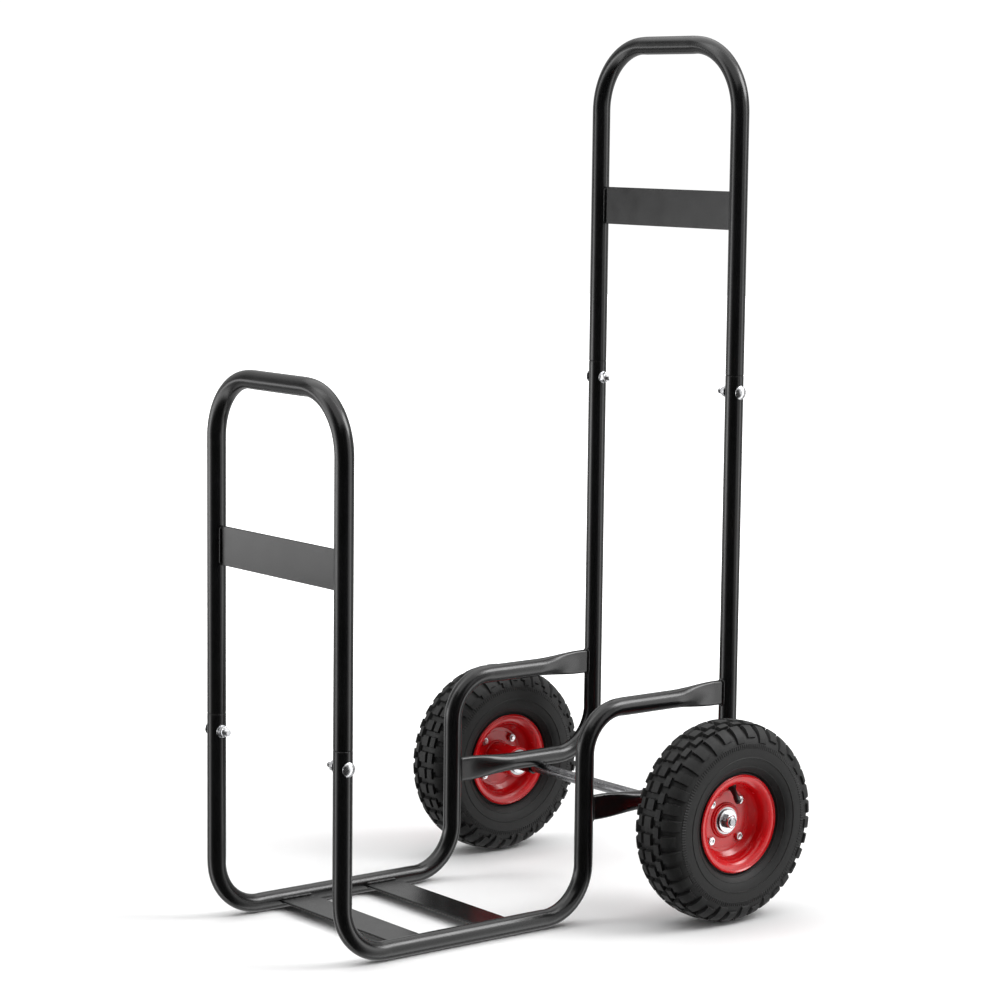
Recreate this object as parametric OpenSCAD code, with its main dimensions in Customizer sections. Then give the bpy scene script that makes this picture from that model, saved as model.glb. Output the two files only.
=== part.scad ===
// Firewood log rack: a two-wheeled cart of bent round steel tube.
// Two side frames carry the log bay and the shelf, a low hoop closes the front,
// and a tall hoop at the wheel end is the push handle.
// Millimetres. +X runs from the front hoop to the wheels, +Z is up and the left side is -Y.
// The origin is on the floor, under the middle of the whole rack.

/* [Frame tube] */
// Outside diameter of the frame tube
tube_d = 24; // [23:0.5:25]
// Wall thickness of the frame tube
tube_wall = 1.5; // [1.2:0.1:2]
// Distance between the centre lines of the two side frames
track = 278; // [240:2:320]
// Radius of the lower bends of the side frames and uprights, at the tube's centre line
low_bend_r = 63; // [50:1:70]
// Radius of the bend from the riser to the shelf, at the tube's centre line
shelf_bend_r = 57; // [45:1:65]

/* [Side frames] */
// Distance from the front legs to the risers behind the log bay
bay_length = 376; // [320:2:400]
// Distance from the front legs to the rear uprights
upright_offset = 620; // [600:2:640]
// Height of the shelf tube's centre line
shelf_z = 272; // [260:1:285]
// Height of the strut's centre line
strut_z = 145.5; // [144:0.5:148]
// Height of the flattened tube ends
flat_height = 33; // [28:0.5:35]
// Thickness of the flattened tube ends
flat_thickness = 8; // [7:0.5:12]
// Length over which a tube end is pressed flat
flat_length = 88; // [50:1:92]

/* [Hoops] */
// Height of the front hoop's top bar, at its centre line
front_top_z = 697; // [660:1:740]
// Height of the handle's top bar, at its centre line
handle_top_z = 1117; // [1080:1:1150]
// Bend radius of the front hoop's corners
front_bend_r = 78; // [60:1:95]
// Bend radius of the handle's corners
handle_bend_r = 87; // [60:1:95]
// Height of the joint between the front hoop and the front legs
front_joint_z = 268; // [240:1:300]
// Height of the joint between the handle and the uprights
handle_joint_z = 690; // [650:1:730]
// Length of the reduced hoop ends that sit inside the lower tubes
spigot_length = 45; // [40:1:60]

/* [Cross plates] */
// Height or width of each flat cross plate
plate_width = 50; // [40:1:60]
// Thickness of each cross plate
plate_thickness = 3; // [2:0.5:4]
// Height of the front plate's middle
front_plate_z = 483.5; // [440:0.5:520]
// Height of the handle plate's middle
handle_plate_z = 903; // [850:1:950]
// Distance from the front legs to the front base plate
base_front_offset = 115; // [95:1:150]
// Distance from the front legs to the rear base plate
base_rear_offset = 250; // [210:1:285]

/* [Wheels] */
// Outside diameter of the tyres
tyre_d = 260; // [256:1:264]
// Width of the tyres
tyre_width = 80; // [76:1:84]
// Distance between the two wheels' middle planes
wheel_track = 474; // [460:2:500]
// Distance from the front legs to the axle
axle_offset = 527; // [515:1:530]
// Diameter of the axle
axle_d = 15; // [14:0.5:16]
// Thickness of the rim's pressed steel
rim_sheet = 2; // [1.6:0.1:2.4]
// Diameter of the circle of bolts that join the rim's halves
rim_bolt_circle = 68; // [62:1:72]

/* [Hidden] */
$fn = 64;
left = -1;
right = 1;
both_sides = [left, right];

// Places along the rack, from its overall length
tube_r = tube_d / 2;
bore_r = tube_r - tube_wall;
tyre_r = tyre_d / 2;
overall_length = tube_r + axle_offset + tyre_r;
front_x = tube_r - overall_length / 2;
riser_x = front_x + bay_length;
upright_x = front_x + upright_offset;
axle_x = front_x + axle_offset;
axle_z = tyre_r;
side_y = track / 2;
wheel_y = wheel_track / 2;

// Tube ends and joints
saddle_depth = 2.5;         // how far a flattened end reaches into its neighbour before it is coped
slice = 0.1;                // thickness of the two outlines that a flattened end is drawn between
flat_facets = 32;           // facets round a flattened end
edge_break = 0.8;           // chamfer on the tube edges that show as a ring at each joint
spigot_gap = 0.2;           // radial gap between a spigot and the tube it sits in
spigot_r = bore_r - spigot_gap;
spigot_bore_r = spigot_r - tube_wall;
spigot_root = 3;            // length of the thick wall above each joint
bolt_drop = 22;             // distance from a joint down to its bolt

// Joint fasteners, M8: a domed head on the outboard side, a washer and a lock nut on the inboard side
bolt_r = 4;
bolt_hole_r = 4.2;
bolt_length = 40;           // from under the head
head_r = 9;
head_height = 4.5;
head_rim = 0.8;             // height of the head's straight edge
nut_width = 13;
nut_height = 8;
washer_r = 8;
washer_thickness = 1.6;
thread_gap = 0.05;          // radial gap between a thread and its nut
collar_ratio = 0.92;        // diameter of a lock nut's collar, as a share of its hexagon's width

// Axle and its fasteners, M10 on the axle's reduced ends
axle_r = axle_d / 2;
axle_thread_r = 5;
axle_thread_end = 1;        // length of thread that shows beyond each nut
running_gap = 0.05;         // radial clearance of the bearings on the axle
end_play = 0.3;             // gap between each wheel and the washers beside it
axle_washer_r = 15;
axle_washer_thickness = 2.5;
axle_nut_width = 17;
axle_nut_height = 8;
axle_spacer_r = 10;

// Wheel sections: distances from the axle and outboard of the wheel's middle plane
hub_r = 20.5;
hub_out = 6;                // the hub's outboard end
hub_in = 52;                // the hub's inboard end
hub_bore_r = 15.5;
bearing_r = 17.5;
bearing_width = 11;
bearing_shield = [10.5, 15.5];
shield_depth = 0.6;
dish_r = 41;                // flat disc out to here
dish_corner = 6.5;          // size of the sloping corner of the dish
seat_r = 51;                // the tyre bead's seat
flange_r = 64;              // the rim's outer edge
flange_out = 27.5;          // middle of the flange's sheet, outboard of the wheel's middle plane
flange_bend_r = 9;          // bend from the seat to the flange
bend_facet = 15;            // degrees between the corners of that bend as it is drawn
seat_run = 4;               // distance over which the dish's corner steepens into the seat
lip_width = 3;              // width of the flange's rolled edge
lip_roll = 2;               // how far the edge of the flange rolls outboard
rim_bolt_r = 3;
rim_bolt_hole_r = 3.3;
rim_bolt_hex = 10;
rim_bolt_head = 4;
rim_nut_height = 5;
rim_bolt_end = 2;
rim_bolts_count = 4;
first_bolt_angle = 45;

// Tyre and inner tube sections are superellipses
tyre_mid_r = 95;
tyre_power = 2.6;
tyre_wall = 6;
tube_fill = 0.7;            // gap between the tyre and its inner tube
tube_seat_gap = 1;          // gap between the rim's seat and the inner tube
inner_tube_wall = 2;
bead_gap = 0.3;
bead_width = 13;
bead_heel_r = flange_bend_r - rim_sheet / 2;   // the bead's heel follows the inside of the flange's bend
bead_angle = 56;            // where the outside of the section turns into the bead
section_step = 7.4;

// Valve: it leaves the sloping corner of the dish at right angles
valve_angle = 78;
valve_slope = 45;
valve_r = 3.5;
valve_hole_r = 4;
valve_root = [dish_r + dish_corner / 2, rim_sheet / 2 + dish_corner / 2];
valve_inside = 13;
valve_outside = 16;
cap_r = 4.2;
cap_length = 10;

steel_black = [0.05, 0.05, 0.055];
zinc = [0.8, 0.8, 0.82];
rim_red = [0.7, 0.02, 0.04];
rubber_black = [0.06, 0.06, 0.06];

// ---- Bent tube ----

// One straight run between two points of the XZ plane
module straight_run(from, to, r) {
    run = to - from;
    translate([from[0], 0, from[1]])
        rotate([0, atan2(run[0], run[1]), 0])
            cylinder(r = r, h = norm(run));
}

// A right-angle bend about the corner between two unit directions
module right_bend(corner, entry, exit, bend_r, r) {
    centre = corner + bend_r * (exit - entry);
    turns_left = entry[0] * exit[1] - entry[1] * exit[0] > 0;
    start = turns_left ? -exit : entry;
    translate([centre[0], 0, centre[1]])
        rotate([90, 0, 0])
            rotate([0, 0, atan2(start[1], start[0])])
                rotate_extrude(angle = 90)
                    translate([bend_r, 0])
                        circle(r = r);
}

function direction(a, b) = (b - a) / norm(b - a);

// A round bar along a path of corners in the XZ plane, each corner rounded by its own radius
module bent_bar(corners, radii, r) {
    last = len(corners) - 1;
    for (i = [0 : last - 1]) {
        way = direction(corners[i], corners[i + 1]);
        straight_run(corners[i] + radii[i] * way, corners[i + 1] - radii[i + 1] * way, r);
    }
    for (i = [1 : last - 1])
        right_bend(
            corners[i],
            direction(corners[i - 1], corners[i]),
            direction(corners[i], corners[i + 1]),
            radii[i],
            r
        );
}

module bent_tube(corners, radii) {
    difference() {
        bent_bar(corners, radii, tube_r);
        bent_bar(corners, radii, bore_r);
    }
}

// Cross-section of a tube pressed from round to an upright oval, standing at x
module tube_outline(x, height, thickness) {
    translate([x, 0, 0])
        for (end = both_sides)
            translate([0, 0, end * (height - thickness) / 2])
                rotate([0, 90, 0])
                    cylinder(d = thickness, h = slice, center = true, $fn = flat_facets);
}

// A tube end pressed flat: round at from_x, flat where it meets the tube at neighbour_x
module flattened_end(from_x, neighbour_x, z) {
    side = sign(neighbour_x - from_x);
    round_x = from_x + side * slice / 2;
    flat_x = neighbour_x - side * (tube_r - saddle_depth);
    difference() {
        translate([0, 0, z])
            difference() {
                hull() {
                    tube_outline(round_x, tube_d, tube_d);
                    tube_outline(flat_x, flat_height, flat_thickness);
                }
                hull() {
                    tube_outline(round_x - side * slice, 2 * bore_r, 2 * bore_r);
                    tube_outline(flat_x, flat_height - 2 * tube_wall, flat_thickness - 2 * tube_wall);
                }
            }
        upright_cylinder(neighbour_x, z);
    }
}

// The space that an upright tube takes up beside a flattened end
module upright_cylinder(x, z) {
    translate([x, 0, z - flat_height])
        cylinder(r = tube_r, h = 2 * flat_height);
}

// ---- Joints between the hoops and the lower tubes ----

// Hole for a joint bolt, across the tube that stands at x
module bolt_hole(x, joint_z) {
    translate([x, 0, joint_z - bolt_drop])
        rotate([90, 0, 0])
            cylinder(r = bolt_hole_r, h = 2 * tube_d, center = true);
}

// Cutter that breaks the outer edge of the upper end of the tube that stands at x
module edge_cutter(x, z) {
    translate([x, 0, z - edge_break])
        difference() {
            cylinder(r = tube_d, h = 2 * edge_break);
            cylinder(r1 = tube_r, r2 = tube_r - 2 * edge_break, h = 2 * edge_break);
        }
}

// One continuous tube: front leg, floor runner, riser and shelf
module side_frame(side) {
    round_end = upright_x - tube_r - flat_length;
    corners = [
        [front_x, front_joint_z],
        [front_x, tube_r],
        [riser_x, tube_r],
        [riser_x, shelf_z],
        [round_end, shelf_z]
    ];
    color(steel_black)
        translate([0, side * side_y, 0]) {
            difference() {
                bent_tube(corners, [0, low_bend_r, low_bend_r, shelf_bend_r, 0]);
                bolt_hole(front_x, front_joint_z);
                edge_cutter(front_x, front_joint_z);
            }
            flattened_end(round_end, upright_x, shelf_z);
        }
}

// One continuous tube: upright, lower bend and strut, notched where it sits on the axle
module rear_upright(side) {
    round_end = riser_x + tube_r + flat_length;
    corners = [
        [upright_x, handle_joint_z],
        [upright_x, strut_z],
        [round_end, strut_z]
    ];
    color(steel_black)
        translate([0, side * side_y, 0]) {
            difference() {
                bent_tube(corners, [0, low_bend_r, 0]);
                bolt_hole(upright_x, handle_joint_z);
                edge_cutter(upright_x, handle_joint_z);
                axle_bar(axle_r, hub_face_y);
            }
            flattened_end(round_end, riser_x, strut_z);
        }
}

// A hoop standing across the rack at x, with reduced ends that sit in the lower tubes
module hoop(x, joint_z, top_z, bend_r) {
    outer = [[-side_y, joint_z], [-side_y, top_z], [side_y, top_z], [side_y, joint_z]];
    bore_z = joint_z + spigot_root;
    inner = [[-side_y, bore_z], [-side_y, top_z], [side_y, top_z], [side_y, bore_z]];
    radii = [0, bend_r, bend_r, 0];
    color(steel_black)
        translate([x, 0, 0])
            difference() {
                union() {
                    rotate([0, 0, 90])
                        bent_bar(outer, radii, tube_r);
                    leg_ends(spigot_r, joint_z - spigot_length, joint_z);
                }
                rotate([0, 0, 90])
                    bent_bar(inner, radii, bore_r);
                leg_ends(spigot_bore_r, joint_z - spigot_length, bore_z);
                for (side = both_sides)
                    translate([0, side * side_y, 0]) {
                        bolt_hole(0, joint_z);
                        shoulder_cutter(joint_z);
                    }
            }
}

// Breaks the outer edge of a hoop leg just above its shoulder, clear of the spigot
module shoulder_cutter(joint_z) {
    translate([0, 0, joint_z])
        difference() {
            cylinder(r = tube_d, h = edge_break);
            cylinder(r1 = tube_r - edge_break, r2 = tube_r, h = edge_break);
        }
}

// A pair of upright cylinders, one in line with each leg of a hoop
module leg_ends(r, low_z, high_z) {
    for (side = both_sides)
        translate([0, side * side_y, low_z])
            cylinder(r = r, h = high_z - low_z);
}

module front_hoop() {
    hoop(front_x, front_joint_z, front_top_z, front_bend_r);
}

module handle_hoop() {
    hoop(upright_x, handle_joint_z, handle_top_z, handle_bend_r);
}

// ---- Cross plates, coped to the tubes they are welded to ----

module upright_plate(x, z) {
    color(steel_black)
        translate([x, 0, z])
            difference() {
                cube([plate_thickness, track, plate_width], center = true);
                leg_ends(tube_r, -plate_width, plate_width);
            }
}

module base_plate(offset_x) {
    color(steel_black)
        translate([front_x + offset_x, 0, tube_r])
            difference() {
                cube([plate_width, track, plate_thickness], center = true);
                for (side = both_sides)
                    translate([0, side * side_y, 0])
                        rotate([0, 90, 0])
                            cylinder(r = tube_r, h = 2 * plate_width, center = true);
            }
}

module front_plate() {
    upright_plate(front_x, front_plate_z);
}

module handle_plate() {
    upright_plate(upright_x, handle_plate_z);
}

module base_plate_front() {
    base_plate(base_front_offset);
}

module base_plate_rear() {
    base_plate(base_rear_offset);
}

// ---- Fasteners ----

module hex_prism(width, height) {
    cylinder(d = width / cos(30), h = height, $fn = 6);
}

module ring(r_out, r_in, height) {
    difference() {
        cylinder(r = r_out, h = height);
        translate([0, 0, -height])
            cylinder(r = r_in, h = 3 * height);
    }
}

// Nylon-insert nut: a hexagon with a round collar at its outer end
module lock_nut(width, height, r_in) {
    collar = height / 4;
    difference() {
        union() {
            hex_prism(width, height - collar);
            cylinder(d = collar_ratio * width, h = height);
        }
        translate([0, 0, -height])
            cylinder(r = r_in, h = 3 * height);
    }
}

// Puts a piece drawn along +Z, pointing away from the rack's middle, on each joint bolt's line.
// Its origin is on the outside of the tube
module at_each_joint(outboard = true) {
    for (joint = [[front_x, front_joint_z], [upright_x, handle_joint_z]])
        for (side = both_sides)
            translate([joint[0], side * side_y, joint[1] - bolt_drop])
                rotate([outboard ? -90 * side : 90 * side, 0, 0])
                    translate([0, 0, tube_r])
                        children();
}

// Round bolt head: a short straight edge under part of a ball
module domed_head(r, height, rim) {
    rise = height - rim;
    ball_r = (r * r + rise * rise) / (2 * rise);
    intersection() {
        cylinder(r = r, h = height);
        translate([0, 0, height - ball_r])
            sphere(r = ball_r);
    }
}

module joint_bolts() {
    color(zinc)
        at_each_joint() {
            domed_head(head_r, head_height, head_rim);
            translate([0, 0, -bolt_length])
                cylinder(r = bolt_r, h = bolt_length);
        }
}

module joint_washers() {
    color(zinc)
        at_each_joint(outboard = false)
            ring(washer_r, bolt_hole_r, washer_thickness);
}

module joint_nuts() {
    color(zinc)
        at_each_joint(outboard = false)
            translate([0, 0, washer_thickness])
                lock_nut(nut_width, nut_height, bolt_r + thread_gap);
}

// ---- Axle ----

// Distances along the axle from the rack's middle plane
hub_face_y = wheel_y + hub_out + end_play;
hub_back_y = wheel_y - hub_in - end_play;
axle_end_y = hub_face_y + axle_washer_thickness + axle_nut_height + axle_thread_end;
spacer_start_y = side_y + tube_r;

// A bar of the axle, reaching as far on the left as on the right
module axle_bar(r, reach) {
    translate([axle_x, 0, axle_z])
        rotate([90, 0, 0])
            cylinder(r = r, h = 2 * reach, center = true);
}

// The ends are turned down to the thread, which leaves shoulders that the outer washers rest on
module axle() {
    color(zinc) {
        axle_bar(axle_r, hub_face_y);
        axle_bar(axle_thread_r, axle_end_y);
    }
}

// Puts a piece drawn along +Z, pointing away from the rack's middle, on each half of the axle
module on_each_axle_end(distance) {
    for (side = both_sides)
        translate([axle_x, side * distance, axle_z])
            rotate([-90 * side, 0, 0])
                children();
}

module axle_spacers() {
    spacer_length = hub_back_y - axle_washer_thickness - spacer_start_y;
    color(steel_black)
        on_each_axle_end(spacer_start_y)
            ring(axle_spacer_r, axle_r + thread_gap, spacer_length);
}

module axle_washers() {
    color(zinc) {
        on_each_axle_end(hub_back_y - axle_washer_thickness)
            ring(axle_washer_r, axle_r + thread_gap, axle_washer_thickness);
        on_each_axle_end(hub_face_y)
            ring(axle_washer_r, axle_thread_r + thread_gap, axle_washer_thickness);
    }
}

module axle_lock_nuts() {
    color(zinc)
        on_each_axle_end(hub_face_y + axle_washer_thickness)
            lock_nut(axle_nut_width, axle_nut_height, axle_thread_r + thread_gap);
}

// ---- Wheels, drawn about +Z with the outboard side up ----

// Puts a wheel piece on its end of the axle
module on_wheel(side) {
    mirror([0, side == left ? 0 : 1, 0])
        translate([axle_x, -wheel_y, axle_z])
            rotate([90, 0, 0])
                children();
}

// Point of a superellipse section, given as [distance from the axle, distance outboard]
function power_of(value, power) = sign(value) * pow(abs(value), 2 / power);
function section_point(angle, mid_r, half_height, half_width) = [
    mid_r + half_height * power_of(sin(angle), tyre_power),
    half_width * power_of(cos(angle), tyre_power)
];
function section_arc(first, last, mid_r, half_height, half_width) = [
    for (i = [0 : round(abs(last - first) / section_step)])
        section_point(
            first + (last - first) * i / round(abs(last - first) / section_step),
            mid_r,
            half_height,
            half_width
        )
];

// The tyre's section, and its bead
tyre_half_height = tyre_r - tyre_mid_r;
tyre_half_width = tyre_width / 2;
bead_out = section_point(-bead_angle, tyre_mid_r, tyre_half_height, tyre_half_width)[1];
bead_in = bead_out - bead_width;
bead_r = seat_r + bead_gap;

// The space inside the carcass, down to the beads, shrunk by a distance on every side
function cavity_arc(inset) = section_arc(
    180 + bead_angle,
    -bead_angle,
    tyre_mid_r,
    tyre_half_height - tyre_wall - inset,
    tyre_half_width - tyre_wall - inset
);

// An open carcass: the outside of the section, one bead, the inside and the other bead
module tyre() {
    outside = section_arc(
        -bead_angle, 180 + bead_angle, tyre_mid_r, tyre_half_height, tyre_half_width
    );
    heel = [
        for (turn = [90 : -bend_facet : 0])
            [bead_r + bead_heel_r * (1 - cos(turn)), bead_out - bead_heel_r * (1 - sin(turn))]
    ];
    bead = concat(heel, [[bead_r, bead_in]]);
    color(rubber_black)
        rotate_extrude()
            polygon(concat(
                outside,
                [for (point = bead) [point[0], -point[1]]],
                cavity_arc(0),
                reversed(bead)
            ));
}

// The inner tube fills the tyre and rests on the rim; its valve stem starts at its inner face
module inner_tube_bar(shrink) {
    inset = tube_fill + shrink;
    low_r = seat_r + tube_seat_gap + shrink;
    rotate_extrude()
        polygon(concat(cavity_arc(inset), [[low_r, bead_in - inset], [low_r, inset - bead_in]]));
}

module inner_tube() {
    color(rubber_black)
        difference() {
            inner_tube_bar(0);
            inner_tube_bar(inner_tube_wall);
        }
}

// Outline of bent sheet: the path's points moved to each side by half the sheet's thickness
function sheet_normal(a, b) = [a[1] - b[1], b[0] - a[0]] / norm(b - a);
function corner_shift(path, i) =
    let (
        before = sheet_normal(path[max(i - 1, 0)], path[max(i, 1)]),
        after = sheet_normal(path[min(i, len(path) - 2)], path[min(i + 1, len(path) - 1)]),
        middle = (before + after) / norm(before + after)
    )
    middle / (middle * after);
function moved_path(path, distance) = [
    for (i = [0 : len(path) - 1]) path[i] + distance * corner_shift(path, i)
];
function reversed(list) = [for (i = [len(list) - 1 : -1 : 0]) list[i]];
function sheet_outline(path, thickness) = concat(
    moved_path(path, thickness / 2),
    reversed(moved_path(path, -thickness / 2))
);

// One half of the split rim: disc, sloping corner, bead seat and rolled flange
module rim_half() {
    half = rim_sheet / 2;
    wall_r = seat_r - half;
    flange_bend = [
        for (turn = [0 : bend_facet : 90])
            [wall_r + flange_bend_r * (1 - cos(turn)), flange_out - flange_bend_r * (1 - sin(turn))]
    ];
    path = concat(
        [
            [hub_r + bead_gap, half],
            [dish_r, half],
            [dish_r + dish_corner, half + dish_corner],
            [wall_r, half + dish_corner + seat_run]
        ],
        flange_bend,
        [[flange_r - lip_width, flange_out], [flange_r - half, flange_out + lip_roll]]
    );
    difference() {
        rotate_extrude()
            polygon(sheet_outline(path, rim_sheet));
        at_rim_bolts()
            cylinder(r = rim_bolt_hole_r, h = 4 * rim_sheet, center = true);
    }
}

module at_rim_bolts() {
    for (i = [0 : rim_bolts_count - 1])
        rotate([0, 0, first_bolt_angle + i * 360 / rim_bolts_count])
            translate([rim_bolt_circle / 2, 0, 0])
                children();
}

// Puts a piece drawn along +Z on the valve's line, with its origin in the sheet of the rim
module on_valve_line() {
    rotate([0, 0, valve_angle])
        translate([valve_root[0], 0, valve_root[1]])
            rotate([0, -valve_slope, 0])
                children();
}

module rim_outer() {
    color(rim_red)
        difference() {
            rim_half();
            on_valve_line()
                cylinder(r = valve_hole_r, h = 4 * rim_sheet, center = true);
        }
}

module rim_inner() {
    color(rim_red)
        mirror([0, 0, 1])
            rim_half();
}

// Long hub, offset inboard, with a bearing seat in each end
module hub() {
    length = hub_out + hub_in;
    color(rim_red)
        translate([0, 0, -hub_in])
            difference() {
                cylinder(r = hub_r, h = length);
                translate([0, 0, -length])
                    cylinder(r = hub_bore_r, h = 3 * length);
                translate([0, 0, -bearing_width])
                    cylinder(r = bearing_r, h = 2 * bearing_width);
                translate([0, 0, length - bearing_width])
                    cylinder(r = bearing_r, h = 2 * bearing_width);
            }
}

// A shielded bearing with a shallow groove in both faces
module bearing() {
    difference() {
        cylinder(r = bearing_r, h = bearing_width);
        translate([0, 0, -bearing_width])
            cylinder(r = axle_r + running_gap, h = 3 * bearing_width);
        for (z = [-shield_depth, bearing_width - shield_depth])
            translate([0, 0, z])
                ring(bearing_shield[1], bearing_shield[0], 2 * shield_depth);
    }
}

module bearings() {
    color(zinc)
        for (z = [-hub_in, hub_out - bearing_width])
            translate([0, 0, z])
                bearing();
}

module rim_bolts() {
    shank = 2 * rim_sheet + rim_nut_height + rim_bolt_end;
    color(zinc)
        at_rim_bolts()
            translate([0, 0, rim_sheet]) {
                hex_prism(rim_bolt_hex, rim_bolt_head);
                translate([0, 0, -shank])
                    cylinder(r = rim_bolt_r, h = shank);
            }
}

module rim_nuts() {
    color(zinc)
        at_rim_bolts()
            translate([0, 0, -rim_sheet - rim_nut_height])
                difference() {
                    hex_prism(rim_bolt_hex, rim_nut_height);
                    cylinder(r = rim_bolt_r + thread_gap, h = 3 * rim_nut_height, center = true);
                }
}

module valve_stem() {
    color(rubber_black)
        difference() {
            on_valve_line()
                translate([0, 0, -valve_inside])
                    cylinder(r = valve_r, h = valve_inside + valve_outside);
            inner_tube_bar(0);
        }
}

module valve_cap() {
    color(rubber_black)
        on_valve_line()
            translate([0, 0, valve_outside])
                cylinder(r = cap_r, h = cap_length);
}

side_frame(left);  // side_frame_left
side_frame(right);  // side_frame_right
rear_upright(left);  // rear_upright_left
rear_upright(right);  // rear_upright_right
front_hoop();
front_plate();
handle_hoop();
handle_plate();
base_plate_front();
base_plate_rear();
joint_bolts();
joint_washers();
joint_nuts();
axle();
axle_spacers();
axle_washers();
axle_lock_nuts();
on_wheel(left) tyre();  // wheel_left_tyre
on_wheel(left) inner_tube();  // wheel_left_inner_tube
on_wheel(left) rim_outer();  // wheel_left_rim_outer
on_wheel(left) rim_inner();  // wheel_left_rim_inner
on_wheel(left) hub();  // wheel_left_hub
on_wheel(left) bearings();  // wheel_left_bearings
on_wheel(left) rim_bolts();  // wheel_left_rim_bolts
on_wheel(left) rim_nuts();  // wheel_left_rim_nuts
on_wheel(left) valve_stem();  // wheel_left_valve_stem
on_wheel(left) valve_cap();  // wheel_left_valve_cap
on_wheel(right) tyre();  // wheel_right_tyre
on_wheel(right) inner_tube();  // wheel_right_inner_tube
on_wheel(right) rim_outer();  // wheel_right_rim_outer
on_wheel(right) rim_inner();  // wheel_right_rim_inner
on_wheel(right) hub();  // wheel_right_hub
on_wheel(right) bearings();  // wheel_right_bearings
on_wheel(right) rim_bolts();  // wheel_right_rim_bolts
on_wheel(right) rim_nuts();  // wheel_right_rim_nuts
on_wheel(right) valve_stem();  // wheel_right_valve_stem
on_wheel(right) valve_cap();  // wheel_right_valve_cap
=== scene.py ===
"""Firewood log rack: the looks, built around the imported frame.

Metres, in the frame's own axes: +X from the front hoop to the wheels, +Z up, the left side is -Y.
"""
import random
from math import asin, ceil, copysign, cos, degrees, pi, radians, sin, sqrt, tan

import bmesh
import bpy
from mathutils import Matrix, Vector


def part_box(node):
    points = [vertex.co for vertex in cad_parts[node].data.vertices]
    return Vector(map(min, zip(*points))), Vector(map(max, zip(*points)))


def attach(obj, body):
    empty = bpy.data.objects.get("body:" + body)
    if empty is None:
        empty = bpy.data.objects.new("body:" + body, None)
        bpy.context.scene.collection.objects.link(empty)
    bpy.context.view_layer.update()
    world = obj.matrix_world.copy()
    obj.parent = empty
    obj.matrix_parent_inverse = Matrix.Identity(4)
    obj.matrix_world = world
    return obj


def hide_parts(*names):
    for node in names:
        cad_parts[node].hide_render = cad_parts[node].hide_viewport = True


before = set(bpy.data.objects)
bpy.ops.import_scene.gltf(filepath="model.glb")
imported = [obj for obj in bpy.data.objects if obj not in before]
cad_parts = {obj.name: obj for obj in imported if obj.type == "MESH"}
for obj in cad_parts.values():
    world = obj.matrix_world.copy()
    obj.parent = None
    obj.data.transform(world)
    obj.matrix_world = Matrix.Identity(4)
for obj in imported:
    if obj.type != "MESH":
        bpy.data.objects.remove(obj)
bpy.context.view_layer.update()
random.seed(7)

LEFT, RIGHT = -1, 1
SIDE_NAME = {LEFT: "left", RIGHT: "right"}

# ---- Places and sizes taken from the frame ----

side_low, side_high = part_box("side_frame_left")
upright_low, upright_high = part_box("rear_upright_left")
front_low, front_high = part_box("front_hoop")
handle_low, handle_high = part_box("handle_hoop")
axle_low, axle_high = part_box("axle")
tyre_low, tyre_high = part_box("wheel_left_tyre")
hub_low, hub_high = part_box("wheel_left_hub")

TUBE_R = (side_high.y - side_low.y) / 2
SIDE_Y = -(side_high.y + side_low.y) / 2
FRONT_X = (front_low.x + front_high.x) / 2
UPRIGHT_X = (handle_low.x + handle_high.x) / 2
FRONT_TOP_Z = front_high.z - TUBE_R
HANDLE_TOP_Z = handle_high.z - TUBE_R
HANDLE_JOINT_Z = upright_high.z

# Pressed tube ends, an upright oval
FLAT_HEIGHT = 0.033
FLAT_THICKNESS = 0.008
FLAT_RUN = 0.088
SHELF_Z = side_high.z - FLAT_HEIGHT / 2
STRUT_Z = upright_low.z + FLAT_HEIGHT / 2
RISER_X = upright_low.x - sqrt(TUBE_R**2 - (FLAT_THICKNESS / 2) ** 2)

# Bends, walls and joints of the tubes
LOW_BEND_R = 0.063
SHELF_BEND_R = 0.057
FRONT_BEND_R = 0.078
HANDLE_BEND_R = 0.087
TUBE_WALL = 0.0015
SPIGOT_LENGTH = 0.045
SPIGOT_GAP = 0.0002
SPIGOT_ROOT = 0.003
EDGE_BREAK = 0.0008
FRONT_JOINT_Z = front_low.z + SPIGOT_LENGTH
BOLT_DROP = 0.022
WELD_BITE = 0.0004

AXLE_X = (tyre_low.x + tyre_high.x) / 2
AXLE_Z = (tyre_low.z + tyre_high.z) / 2
AXLE_R = (axle_high.z - axle_low.z) / 2
TYRE_R = (tyre_high.z - tyre_low.z) / 2
TYRE_HALF_WIDTH = (tyre_high.y - tyre_low.y) / 2
WHEEL_Y = -(tyre_low.y + tyre_high.y) / 2
HUB_R = (hub_high.z - hub_low.z) / 2
HUB_OUT = -WHEEL_Y - hub_low.y
HUB_IN = hub_high.y + WHEEL_Y


# ---- Meshes ----

HERE = Matrix.Identity(4)


def add_object(name, data):
    thing = bpy.data.objects.new(name, data)
    bpy.context.scene.collection.objects.link(thing)
    return thing


def make_piece(name, parts, finish, body, replaces, sharp=32):
    """One object from its parts, each a mesh and its place; a finish is a material and its slot, and
    the slot is not used.

    It also says what the object rides on and what it replaces.
    """
    material, slot = finish
    verts, faces = [], []
    for (part_verts, part_faces), place in parts:
        first = len(verts)
        verts += [place @ Vector(v) for v in part_verts]
        faces += [[first + i for i in face] for face in part_faces]
    mesh = bpy.data.meshes.new(name)
    mesh.from_pydata(verts, [], faces)
    work = bmesh.new()
    work.from_mesh(mesh)
    bmesh.ops.remove_doubles(work, verts=work.verts, dist=1e-7)
    bmesh.ops.recalc_face_normals(work, faces=work.faces)
    for face in work.faces:
        face.smooth = True
    work.to_mesh(mesh)
    work.free()
    mesh.set_sharp_from_angle(angle=radians(sharp))
    mesh.materials.append(material)
    piece = add_object(name, mesh)
    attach(piece, body)
    if replaces:
        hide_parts(*replaces)


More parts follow.
